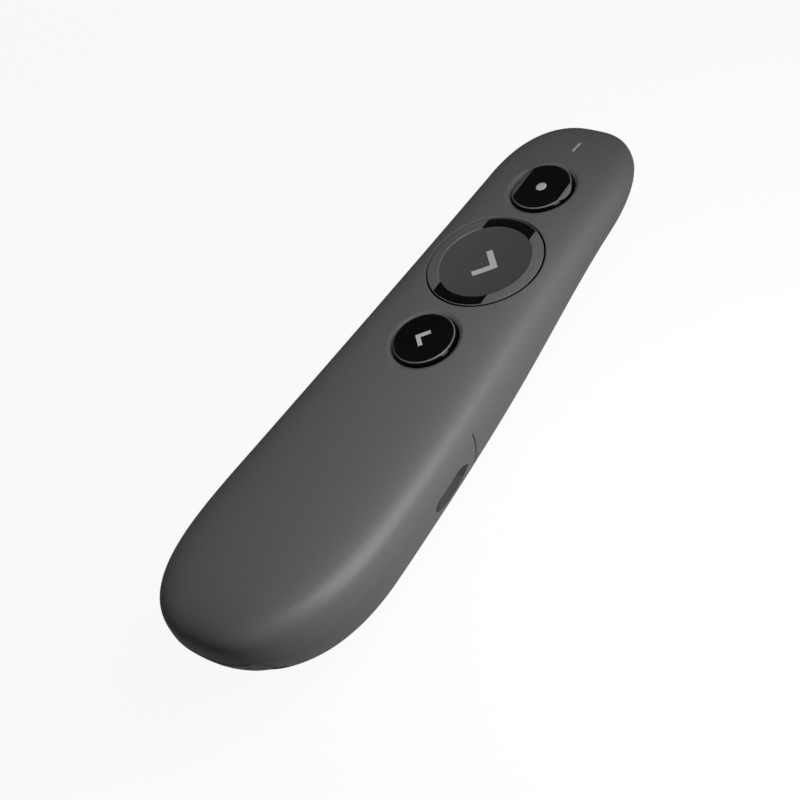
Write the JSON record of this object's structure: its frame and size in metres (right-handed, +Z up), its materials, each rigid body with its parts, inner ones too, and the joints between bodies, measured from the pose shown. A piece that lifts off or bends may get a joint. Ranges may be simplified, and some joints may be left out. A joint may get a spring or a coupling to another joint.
{
  "type": "wireless presentation clicker",
  "caption": "Slim hand-held presentation remote with a round forward button, small pointer and back buttons, a deep belly for its cells and a docked plug-in receiver.",
  "frame": {"origin": "under the middle of the body, on the flat land that its belly rests on", "axes": "+X to the user's right, +Y along the body towards the pointer's nose, +Z up out of the buttons"},
  "size_m": [0.039, 0.1368, 0.0296],
  "materials": {
    "graphite_shell": "satin",
    "graphite_button": "satin",
    "gloss_black": "gloss",
    "symbol_grey": "satin",
    "board_laminate": "satin",
    "switch_steel": "satin",
    "black_nylon": "matte",
    "chip_resin": "matte",
    "led_resin": "satin",
    "light_guide": "gloss",
    "module_brass": "satin",
    "cell_jacket": "satin",
    "plated_steel": "polished"
  },
  "bodies": {
    "housing": {"top_housing": "graphite_shell", "lower_housing": "graphite_shell", "battery_tray": "black_nylon", "circuit_board": "board_laminate", "laser_switch": "switch_steel", "next_switch": "switch_steel", "back_switch": "switch_steel", "radio_chip": "chip_resin", "crystal": "plated_steel", "status_led": "led_resin", "light_pipe": "light_guide", "laser_module": "module_brass", "laser_window": "light_guide", "power_switch": "switch_steel", "battery_left": "cell_jacket", "battery_right": "cell_jacket", "front_contacts": "plated_steel", "rear_contacts": "plated_steel", "housing_screws": "plated_steel"},
    "laser_button": {"laser_button": "gloss_black", "laser_dot": "symbol_grey", "laser_plunger": "black_nylon"},
    "next_button": {"next_button": "graphite_button", "next_accents": "gloss_black", "next_chevron": "symbol_grey", "next_plunger": "black_nylon"},
    "back_button": {"back_button": "gloss_black", "back_chevron": "symbol_grey", "back_plunger": "black_nylon"},
    "power_slider": {"power_slider": "black_nylon"},
    "battery_door": {"battery_door": "graphite_shell"},
    "receiver": {"receiver_body": "graphite_shell", "receiver_plug": "plated_steel", "receiver_tongue": "black_nylon"}
  },
  "joints": [
    {"name": "laser_press", "type": "slide", "parent": "housing", "child": "laser_button", "axis": [0, 0, -1], "range_m": [0, 0.0006], "stiffness_N_per_m": 2500},
    {"name": "next_press", "type": "slide", "parent": "housing", "child": "next_button", "axis": [0, 0, -1], "range_m": [0, 0.0006], "stiffness_N_per_m": 2500},
    {"name": "back_press", "type": "slide", "parent": "housing", "child": "back_button", "axis": [0, 0, -1], "range_m": [0, 0.0006], "stiffness_N_per_m": 2500},
    {"name": "power_slide", "type": "slide", "parent": "housing", "child": "power_slider", "axis": [0, 1, 0], "range_m": [0, 0.0025]},
    {"name": "battery_door_release", "type": "slide", "parent": "housing", "child": "battery_door", "axis": [0, 0, -1], "range_m": [0, 0.025]},
    {"name": "receiver_release", "type": "slide", "parent": "housing", "child": "receiver", "axis": [0, -1, 0], "range_m": [0, 0.02]}
  ]
}
